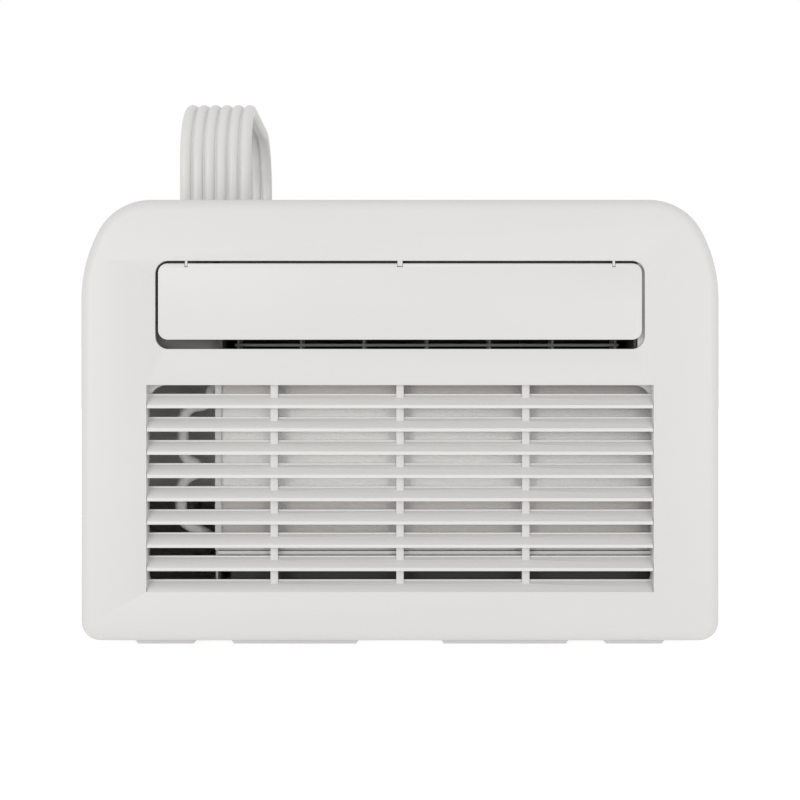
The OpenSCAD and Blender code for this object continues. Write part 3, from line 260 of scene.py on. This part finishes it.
MATS = {
    "shell": plastic("shell", (0.512, 0.507, 0.495), 0.44),
    "outdoor_shell": painted("outdoor_shell", (0.515, 0.51, 0.498), 0.44),
    "grille": plastic("grille", (0.53, 0.525, 0.512), 0.46),
    "button": plastic("button", (0.70, 0.70, 0.69), 0.35, grain=0.3),
    # The filter net's second colour is painted shade for its upper and lower fields.
    "filter_mesh": net("filter_mesh", (0.73, 0.722, 0.705), (0.48, 0.462, 0.44)),
    "vane": plastic("vane", (0.27, 0.27, 0.262), 0.5),
    "link_bar": plastic("link_bar", (0.27, 0.27, 0.262), 0.5),
    # The duct's two cheek colours are painted shade.
    "duct": duct_plastic("duct", (0.035, 0.036, 0.035), ((0.07, 0.068, 0.064), (0.24, 0.235, 0.225))),
    "blower": plastic("blower", (0.03, 0.03, 0.032), 0.5),
    "gear": plastic("gear", (0.72, 0.71, 0.67), 0.35, grain=0.1),
    "band": plastic("band", (0.545, 0.54, 0.525), 0.38, grain=0.25, coat=0.05),
    "lagging": foam("lagging", (0.80, 0.795, 0.78)),
    "copper": metal("copper", (0.60, 0.29, 0.17), 0.35, dirt=0.7),
    "fins": metal("fins", (0.72, 0.72, 0.73), 0.42, brushed="Z"),
    "steel": metal("steel", (0.55, 0.55, 0.56), 0.36),
    "motor_steel": metal("motor_steel", (0.48, 0.48, 0.50), 0.4, brushed="Y"),
    "guard": painted("guard", (0.66, 0.66, 0.65), 0.4),
    "black_metal": painted("black_metal", (0.025, 0.025, 0.027), 0.35, peel=0.6),
    "rubber": rubber("rubber", (0.035, 0.035, 0.036)),
    "board": board("board", (0.02, 0.12, 0.05)),
    "lens": smoked("lens", (0.012, 0.012, 0.014)),
}


def dress(obj, slot):
    """Gives a new piece the material of a record slot."""
    obj.data.materials.clear()
    obj.data.materials.append(MATS[slot])
    return obj


def smooth(obj):
    for p in getattr(obj.data, "polygons", ()):
        p.use_smooth = True
    return obj


# ---------------------------------------------------------------- the CAD nodes: material and rounded edges

# Edge rounding in millimetres for the nodes that show. The fan guard and the outdoor cabinet are left out,
# because they lose faces in the dissolve and the wide bevel.
EDGES = {
    "front_panel": 0.6, "intake_grille": 0.3, "pipe_bay_wall": 0.3, "outlet_flap": 0.5, "indoor_cabinet": 0.5,
    "indoor_rear_cover": 0.6, "outdoor_front_panel": 0.6, "outdoor_rear_panel": 0.6,
    "indoor_feet": 0.6, "outdoor_feet": 0.6, "filter_frame": 0.4, "drip_tray": 0.5, "band_collars": 0.6,
    "display_window": 0.25, "control_box": 0.4, "junction_box": 0.5, "outlet_duct": 0.4,
    "motor_bracket": 0.6, "vane_link_bar": 0.3, "cord_gland": 0.5, "drain_outlet": 0.4, "fan_shroud": 0.5,
    "compressor": 0.8, "compressor_mounts": 0.8, "run_capacitor": 0.5, "blower_motor": 0.6, "fan_motor": 0.8,
    "blower_bearing": 0.5, "power_button": 0.5, "mode_button": 0.5, "cooler_button": 0.5, "warmer_button": 0.5,
    "flap_motor": 0.3, "vane_motor": 0.3, "indoor_screws": 0.2, "outdoor_screws": 0.2, "control_board": 0.2,
}
EDGES.update({f"vane_{k}": 0.3 for k in range(1, 8)})
SLOT_OF = {s["node"]: s["material_slot"] for s in frame["record"]["subparts"]}

for name, obj in NODES.items():
    obj.data.materials.clear()
    obj.data.materials.append(MATS[SLOT_OF[name]])
    smooth(obj)
    weld = obj.modifiers.new("Weld", "WELD")
    weld.merge_threshold = 0.00002
    if name in EDGES:
        flat = obj.modifiers.new("Flat", "DECIMATE")
        flat.decimate_type = "DISSOLVE"
        flat.angle_limit = math.radians(0.4)
    bevel = obj.modifiers.new("Edges", "BEVEL")
    bevel.width = EDGES.get(name, 0.08) * MM
    bevel.segments = 2 if name in EDGES else 1
    bevel.limit_method = "ANGLE"
    bevel.angle_limit = math.radians(32)
    bevel.harden_normals = True
    bevel.miter_outer = "MITER_ARC"


# ---------------------------------------------------------------- piece builders

def mesh_piece(name, verts, faces, slot, body, replaces=()):
    """A new piece from plain lists, in metres in the row frame."""
    mesh = bpy.data.meshes.new(name)
    mesh.from_pydata([tuple(v) for v in verts], [], faces)
    mesh.validate()
    mesh.update()
    obj = bpy.data.objects.new(name, mesh)
    bpy.context.scene.collection.objects.link(obj)
    dress(smooth(obj), slot)
    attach(obj, body)
    if replaces:
        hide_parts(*replaces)
    return obj


def filleted(points, radius, steps=7):
    """The points of a route with each inner corner rounded by an arc."""
    points = [Vector(p) for p in points]
    out = [points[0]]
    for before, here, after in zip(points, points[1:], points[2:]):
        u, v = (here - before).normalized(), (after - here).normalized()
        turn = u.angle(v)
        if turn < 0.02:
            out.append(here)
            continue
        room = min((here - before).length, (after - here).length) * 0.49
        reach = min(radius * math.tan(turn / 2), room)
        r = reach / math.tan(turn / 2)
        side = (v - u * u.dot(v)).normalized()
        centre = here - u * reach + side * r
        for k in range(steps + 1):
            a = turn * k / steps
            out.append(centre - side * r * math.cos(a) + u * r * math.sin(a))
    out.append(points[-1])
    return out


def tube(name, points, radius, slot, body=ROOT, bend=0.009, replaces=()):
    """A round tube along a route given in millimetres, with rounded corners, as one smooth curve."""
    curve = bpy.data.curves.new(name, "CURVE")
    curve.dimensions = "3D"
    route = filleted([Vector(p) * MM for p in points], bend)
    line = curve.splines.new("POLY")
    line.points.add(len(route) - 1)
    for p, q in zip(line.points, route):
        p.co = (*q, 1)
    curve.bevel_depth = radius * MM
    curve.bevel_resolution = 5
    curve.use_fill_caps = True
    line.use_smooth = True
    obj = bpy.data.objects.new(name, curve)
    bpy.context.scene.collection.objects.link(obj)
    curve.materials.append(MATS[slot])
    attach(obj, body)
    if replaces:
        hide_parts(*replaces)
    return obj


def lathe(name, profile, centre, axis, slot, body=ROOT, steps=48, replaces=()):
    """A turned piece: profile is (distance along the axis, radius) in millimetres from centre."""
    axis = Vector(axis).normalized()
    side = axis.orthogonal().normalized()
    other = axis.cross(side)
    centre = Vector(centre) * MM
    verts, faces = [], []
    for along, r in profile:
        for k in range(steps):
            a = 2 * math.pi * k / steps
            verts.append(centre + axis * along * MM + (side * math.cos(a) + other * math.sin(a)) * r * MM)
    for i in range(len(profile) - 1):
        for k in range(steps):
            a, b = i * steps + k, i * steps + (k + 1) % steps
            faces.append((a, b, b + steps, a + steps))
    faces.append(tuple(reversed(range(steps))))
    faces.append(tuple(range((len(profile) - 1) * steps, len(profile) * steps)))
    return mesh_piece(name, verts, faces, slot, body, replaces)


def fin_stack(name, node, count, waves, slot="fins"):
    """A dense stack of corrugated fins in the box of a coarser CAD fin pack, between its two end plates."""
    low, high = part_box(node)
    x0, x1 = low[0], high[0]
    cells = 2 * waves
    verts, faces = [], []
    for k in range(count):
        plate = k in (0, count - 1)
        x = x0 + 0.0006 + (x1 - x0 - 0.0012) * k / (count - 1)
        half = 0.0006 if plate else 0.00008
        start = len(verts)
        for j in range(cells + 1):
            y = low[1] + (high[1] - low[1]) * j / cells
            dx = 0 if plate else 0.00045 * (1 if j % 2 else -1)
            for z in (low[2], high[2]):
                verts += [(x + dx - half, y, z), (x + dx + half, y, z)]
        for j in range(cells):
            a, b = start + 4 * j, start + 4 * j + 4
            faces += [(a, b, b + 2, a + 2), (a + 1, a + 3, b + 3, b + 1), (a, a + 1, b + 1, b),
                      (a + 2, b + 2, b + 3, a + 3)]
        a, b = start, start + 4 * cells
        faces += [(a, a + 2, a + 3, a + 1), (b, b + 1, b + 3, b + 2)]
    obj = mesh_piece(name, verts, faces, slot, ROOT, (node,))
    for p in obj.data.polygons:
        p.use_smooth = False
    return obj


# ---------------------------------------------------------------- coils and pipes

fin_stack("evaporator_fin_stack", "evaporator_fins", 170, 6)
fin_stack("condenser_fin_stack", "condenser_fins", 160, 6)

tube("suction_hose", [(-123.9, -245.5, 196.375), (-147, -245.5, 196.375), (-147, -250, 182),
     (-168.6, -248, 179), (-168.6, -248, 140), (-150, -246, 132), (-170, -248, 123), (-170, -248, 91),
     (-150, -246, 81), (-150, -224, 76),
     (-170, -145, 76), (-178.5, -125, 96), (-178.5, -125, 286)], 4.5, "lagging", bend=0.012,
     replaces=("suction_line",))
tube("liquid_pipe", [(-140.5, -125, 286), (-140.5, -125, 272), (-146, -121, 262), (-146, -121, 84),
     (-150, -180, 61.625), (-150, -245.5, 61.625), (-123.9, -245.5, 61.625)], 3.2, "copper", bend=0.007,
     replaces=("liquid_line",))
tube("hot_gas_pipe", [(-182, 205, 234), (-182, 205, 318), (-142, 185, 318), (-104, 122, 318), (-104, 122, 302),
     (-93, 122, 302)], 3.6, "copper", bend=0.005, replaces=("discharge_pipe",))
# Tape that ties the lagging, and solder fillets where copper meets copper
for k, (y, z) in enumerate([(-125, 250), (-125, 200)]):
    lathe(f"lagging_tape_{k + 1}", [(-5, 4.5), (-4.7, 4.9), (4.7, 4.9), (5, 4.5)], (-178.5, y, z), (0, 0, 1),
          "rubber")
for k, (x, y, z) in enumerate([(-140.5, -125, 280), (-182, 205, 244)]):
    r = 3.2 if k == 0 else 3.6
    lathe(f"brazed_sleeve_{k + 1}", [(-6, r), (-5, r + 0.9), (4, r + 0.8), (6, r)], (x, y, z), (0, 0, 1),
          "copper")

# ---------------------------------------------------------------- condenser fan

FAN = (50.0, 244.0, 172.0)
FAN_R = 125.5


def fan_blades(count=5):
    """Swept, cambered and twisted blades around the hub."""
    rows, cols = 10, 12
    verts, faces = [], []
    for b in range(count):
        turn = 2 * math.pi * b / count
        start = len(verts)
        for i in range(rows + 1):
            s = i / rows
            r = 28.5 + (FAN_R - 28.5) * s
            half = 23 + 21 * math.sin(min(1, s * 1.15) * math.pi / 2)
            pitch = math.radians(31 - 12 * s)
            for j in range(cols + 1):
                c = -1 + 2 * j / cols
                rim = 1 - 0.18 * s ** 4 * (c * c)
                y = half * c * math.cos(pitch)
                z = 17 + half * c * math.sin(pitch) + 3.0 * (1 - c * c) * (1 - 0.4 * s)
                a = turn + y / r + math.radians(9) * s * s
                verts.append(Vector((r * rim * math.cos(a), r * rim * math.sin(a), z)))
        for i in range(rows):
            for j in range(cols):
                a = start + i * (cols + 1) + j
                faces.append((a, a + 1, a + cols + 2, a + cols + 1))
    # The fan's own axis is its third one, which lies along +Y in the row
    place = Matrix.Translation(Vector(FAN) * MM) @ Matrix.Rotation(-math.pi / 2, 4, "X")
    return [place @ (v * MM) for v in verts], faces


blades = mesh_piece("fan_blades", *fan_blades(), "blower", "fan")
thick = blades.modifiers.new("Thick", "SOLIDIFY")
thick.thickness, thick.offset = 0.0018, 0
round_off = blades.modifiers.new("Round", "BEVEL")
round_off.width, round_off.segments, round_off.limit_method = 0.0006, 2, "ANGLE"
round_off.angle_limit = math.radians(50)
lathe("fan_hub", [(-34, 4), (0, 4), (0.2, 7.6), (0.6, 24), (2.0, 28.2), (4.5, 30), (30, 29.4), (34, 28.8),
      (34, 27), (30, 26.6), (5, 26.4), (3.4, 24.5), (3.2, 8.4), (15, 8), (16, 7.4), (16, 1)], FAN, (0, 1, 0), "blower",
      "fan", replaces=("condenser_fan",))
for k in range(6):
    a = 2 * math.pi * (k + 0.5) / 6
    mid = Vector((math.cos(a), 0, math.sin(a)))
    side = Vector((-math.sin(a), 0, math.cos(a))) * 0.8
    base = Vector(FAN) + Vector((0, 3.0, 0))
    quad = [base + mid * 7.6 - side, base + mid * 26.6 - side, base + mid * 26.6 + side,
            base + mid * 7.6 + side]
    lift = [Vector((0, h, 0)) for h in (11, 22, 22, 11)]
    verts = [q * MM for q in quad] + [(q + h) * MM for q, h in zip(quad, lift)]
    mesh_piece(f"fan_hub_rib_{k + 1}", verts, [(0, 1, 2, 3), (7, 6, 5, 4), (0, 4, 5, 1), (1, 5, 6, 2), (2, 6, 7, 3),
               (3, 7, 4, 0)], "blower", "fan")
lathe("fan_nut", [(0, 1), (0, 6.2), (1.2, 6.2), (1.4, 4.8), (5, 4.8), (6, 3.8), (6, 0.5)],
      (FAN[0], FAN[1] + 16, FAN[2]), (0, 1, 0), "steel", "fan", steps=6)

# ---------------------------------------------------------------- wires inside the housings

WIRES = {
    "blower_lead": [(212, -172, 266), (212, -172, 298), (120, -190, 304), (71, -224, 312)],
    "vane_motor_lead": [(-118, -236, 304), (-104, -225, 316), (-74, -228, 318)],
    "flap_motor_lead": [(186, -266, 268), (190, -262, 300), (120, -246, 310), (73, -240, 314)],
    "fan_motor_lead": [(20, 166, 196), (-30, 160, 216), (-92, 210, 236), (-108, 255, 314)],
    "compressor_lead": [(-182, 218, 234), (-176, 246, 256), (-132, 262, 322), (-117, 262, 315)],
}
for name, route in WIRES.items():
    for k, shift in enumerate((-1.3, 0, 1.3)):
        tube(f"{name}_{k + 1}", [(x + shift, y + 0.4 * shift, z + 0.5 * shift) for x, y, z in route], 0.75,
             ("lens", "link_bar", "grille")[k], bend=0.02)

# ---------------------------------------------------------------- camera, floor and light

EYE_LEVEL = 0.1851
CAMERA_Y = -1.39         # 1.1 m in front of the indoor unit's face
SENSOR_MM = 36
LENS_MM = 66.2

camera = bpy.data.objects.new("camera", bpy.data.cameras.new("camera"))
camera.location = (0.0, CAMERA_Y, EYE_LEVEL)
camera.rotation_euler = (math.pi / 2, 0, 0)
camera.data.lens = LENS_MM
camera.data.sensor_width = SENSOR_MM
camera.data.clip_start, camera.data.clip_end = 0.01, 100
bpy.context.scene.collection.objects.link(camera)
bpy.context.scene.camera = camera

FLOOR = 30               # half the floor's side
floor_mesh = bpy.data.meshes.new("floor")
floor_mesh.from_pydata([(-FLOOR, -FLOOR, 0), (FLOOR, -FLOOR, 0), (FLOOR, FLOOR, 0), (-FLOOR, FLOOR, 0)], [],
                       [(0, 1, 2, 3)])
floor = bpy.data.objects.new("floor", floor_mesh)
floor.location.z = -0.0002
bpy.context.scene.collection.objects.link(floor)
floor_mat, _, floor_bsdf, _, _ = shader("floor", (0.5, 0.5, 0.5), 0.8)
floor_bsdf.inputs["Specular IOR Level"].default_value = 0.1
floor_bsdf.inputs["Emission Color"].default_value = (1, 1, 1, 1)
floor_bsdf.inputs["Emission Strength"].default_value = 0.72
floor_mesh.materials.append(floor_mat)

world = bpy.data.worlds.new("studio")
world.use_nodes = True
world.node_tree.nodes["Background"].inputs["Color"].default_value = (1, 1, 1, 1)
world.node_tree.nodes["Background"].inputs["Strength"].default_value = 1.0
bpy.context.scene.world = world
bpy.context.scene.view_settings.view_transform = "Standard"


def soft_light(name, place, target, size, power):
    data = bpy.data.lights.new(name, "AREA")
    data.shape, data.size, data.energy = "DISK", size, power
    obj = bpy.data.objects.new(name, data)
    obj.location = place
    obj.rotation_euler = (Vector(target) - Vector(place)).to_track_quat("-Z", "Y").to_euler()
    bpy.context.scene.collection.objects.link(obj)


LIT_POINT = (0, -0.25, 0.2)
soft_light("key", (-1.9, -3.3, 0.55), LIT_POINT, 1.3, 30)
soft_light("fill", (1.9, -3.3, 0.45), LIT_POINT, 1.3, 22)
